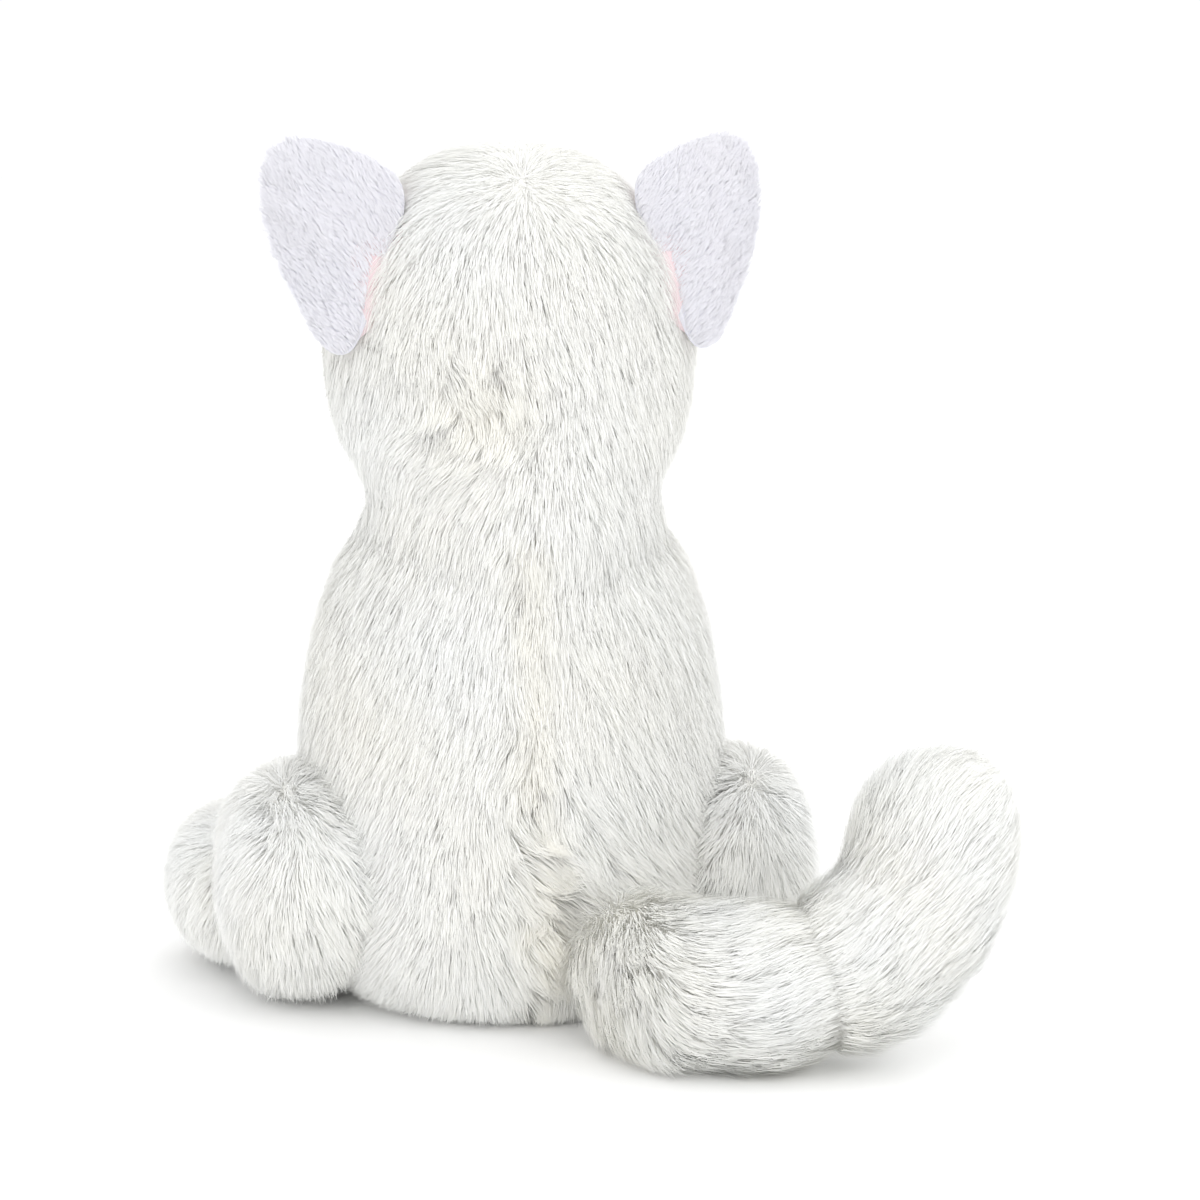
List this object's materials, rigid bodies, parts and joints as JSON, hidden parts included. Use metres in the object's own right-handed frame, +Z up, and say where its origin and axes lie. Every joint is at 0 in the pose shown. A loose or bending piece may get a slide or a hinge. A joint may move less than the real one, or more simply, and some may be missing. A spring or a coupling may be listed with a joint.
{
  "type": "plush cat",
  "caption": "Seated long-pile plush cat with a turning head, folding ears, jointed soft legs and a thick tail that curls up at its tip.",
  "frame": {"origin": "middle of the flat base panel that the cat sits on", "axes": "+Z up, the cat faces -Y, its left side is +X"},
  "size_m": [0.2478, 0.2484, 0.276],
  "materials": {
    "long_fur": "long-pile plush, matte",
    "short_pile": "short-pile plush, matte",
    "pink_pile": "short-pile plush, matte",
    "base_cloth": "short-pile plush, matte",
    "stuffing": "polyester fibre",
    "bag_cloth": "woven cotton",
    "eye_plastic": "glossy",
    "nose_plastic": "satin",
    "washer_plastic": "satin",
    "thread": "satin thread"
  },
  "bodies": {
    "torso": {"base_panel": "base_cloth", "back_panel_left": "long_fur", "back_panel_right": "long_fur", "belly_panel": "long_fur", "torso_stuffing": "stuffing", "pellet_bag": "bag_cloth"},
    "neck": {"neck_stuffing": "stuffing"},
    "head": {"head_back_panel_left": "long_fur", "head_back_panel_right": "long_fur", "face_panel": "long_fur", "muzzle_panel": "short_pile", "muzzle_stuffing": "stuffing", "head_stuffing": "stuffing", "eye_left": "eye_plastic", "eye_right": "eye_plastic", "eye_washer_left": "washer_plastic", "eye_washer_right": "washer_plastic", "nose": "nose_plastic", "nose_washer": "washer_plastic", "mouth_stitching": "thread"},
    "ear_left": {"ear_back_left": "short_pile", "ear_lining_left": "pink_pile"},
    "ear_right": {"ear_back_right": "short_pile", "ear_lining_right": "pink_pile"},
    "front_leg_left": {"front_leg_skin_left": "long_fur", "front_paw_tip_left": "long_fur", "front_leg_stuffing_left": "stuffing"},
    "front_leg_right": {"front_leg_skin_right": "long_fur", "front_paw_tip_right": "long_fur", "front_leg_stuffing_right": "stuffing"},
    "hind_leg_left": {"hind_leg_skin_left": "long_fur", "hind_foot_sole_left": "short_pile", "hind_leg_stuffing_left": "stuffing"},
    "hind_leg_right": {"hind_leg_skin_right": "long_fur", "hind_foot_sole_right": "short_pile", "hind_leg_stuffing_right": "stuffing"},
    "tail_base": {"tail_base_skin": "long_fur", "tail_base_stuffing": "stuffing"},
    "tail_tip": {"tail_tip_skin": "long_fur", "tail_tip_stuffing": "stuffing"}
  },
  "joints": [
    {"name": "head_turn", "type": "hinge", "parent": "torso", "child": "neck", "pos_m": [0, 0.004, 0.16], "axis": [0, 0, 1], "range_deg": [-25, 25], "stiffness_Nm_per_rad": 0.3},
    {"name": "head_nod", "type": "hinge", "parent": "neck", "child": "head", "pos_m": [0, 0.004, 0.16], "axis": [1, 0, 0], "range_deg": [-10, 12], "stiffness_Nm_per_rad": 1},
    {"name": "ear_left_fold", "type": "hinge", "parent": "head", "child": "ear_left", "pos_m": [0.0575, 0.029, 0.212], "axis": [-0.2347, -0.1739, 0.9564], "range_deg": [-18, 18], "stiffness_Nm_per_rad": 0.02},
    {"name": "ear_right_fold", "type": "hinge", "parent": "head", "child": "ear_right", "pos_m": [-0.0575, 0.029, 0.212], "axis": [-0.2347, 0.1739, -0.9564], "range_deg": [-18, 18], "stiffness_Nm_per_rad": 0.02},
    {"name": "front_leg_left_lift", "type": "hinge", "parent": "torso", "child": "front_leg_left", "pos_m": [0.026, -0.073, 0.1], "axis": [-1, 0, 0], "range_deg": [0, 25], "stiffness_Nm_per_rad": 0.1},
    {"name": "front_leg_right_lift", "type": "hinge", "parent": "torso", "child": "front_leg_right", "pos_m": [-0.026, -0.073, 0.1], "axis": [-1, 0, 0], "range_deg": [0, 25], "stiffness_Nm_per_rad": 0.1},
    {"name": "hind_leg_left_lift", "type": "hinge", "parent": "torso", "child": "hind_leg_left", "pos_m": [0.06, 0.01, 0.04], "axis": [-1, 0, 0], "range_deg": [0, 18], "stiffness_Nm_per_rad": 0.2},
    {"name": "hind_leg_right_lift", "type": "hinge", "parent": "torso", "child": "hind_leg_right", "pos_m": [-0.06, 0.01, 0.04], "axis": [-1, 0, 0], "range_deg": [0, 18], "stiffness_Nm_per_rad": 0.2},
    {"name": "tail_swing", "type": "hinge", "parent": "torso", "child": "tail_base", "pos_m": [-0.02, 0.0925, 0.025], "axis": [0, 0, 1], "range_deg": [-15, 15], "stiffness_Nm_per_rad": 0.2},
    {"name": "tail_tip_bend", "type": "hinge", "parent": "tail_base", "child": "tail_tip", "pos_m": [-0.06, 0.118, 0.0255], "axis": [0, 0, 1], "range_deg": [-18, 18], "stiffness_Nm_per_rad": 0.1}
  ]
}
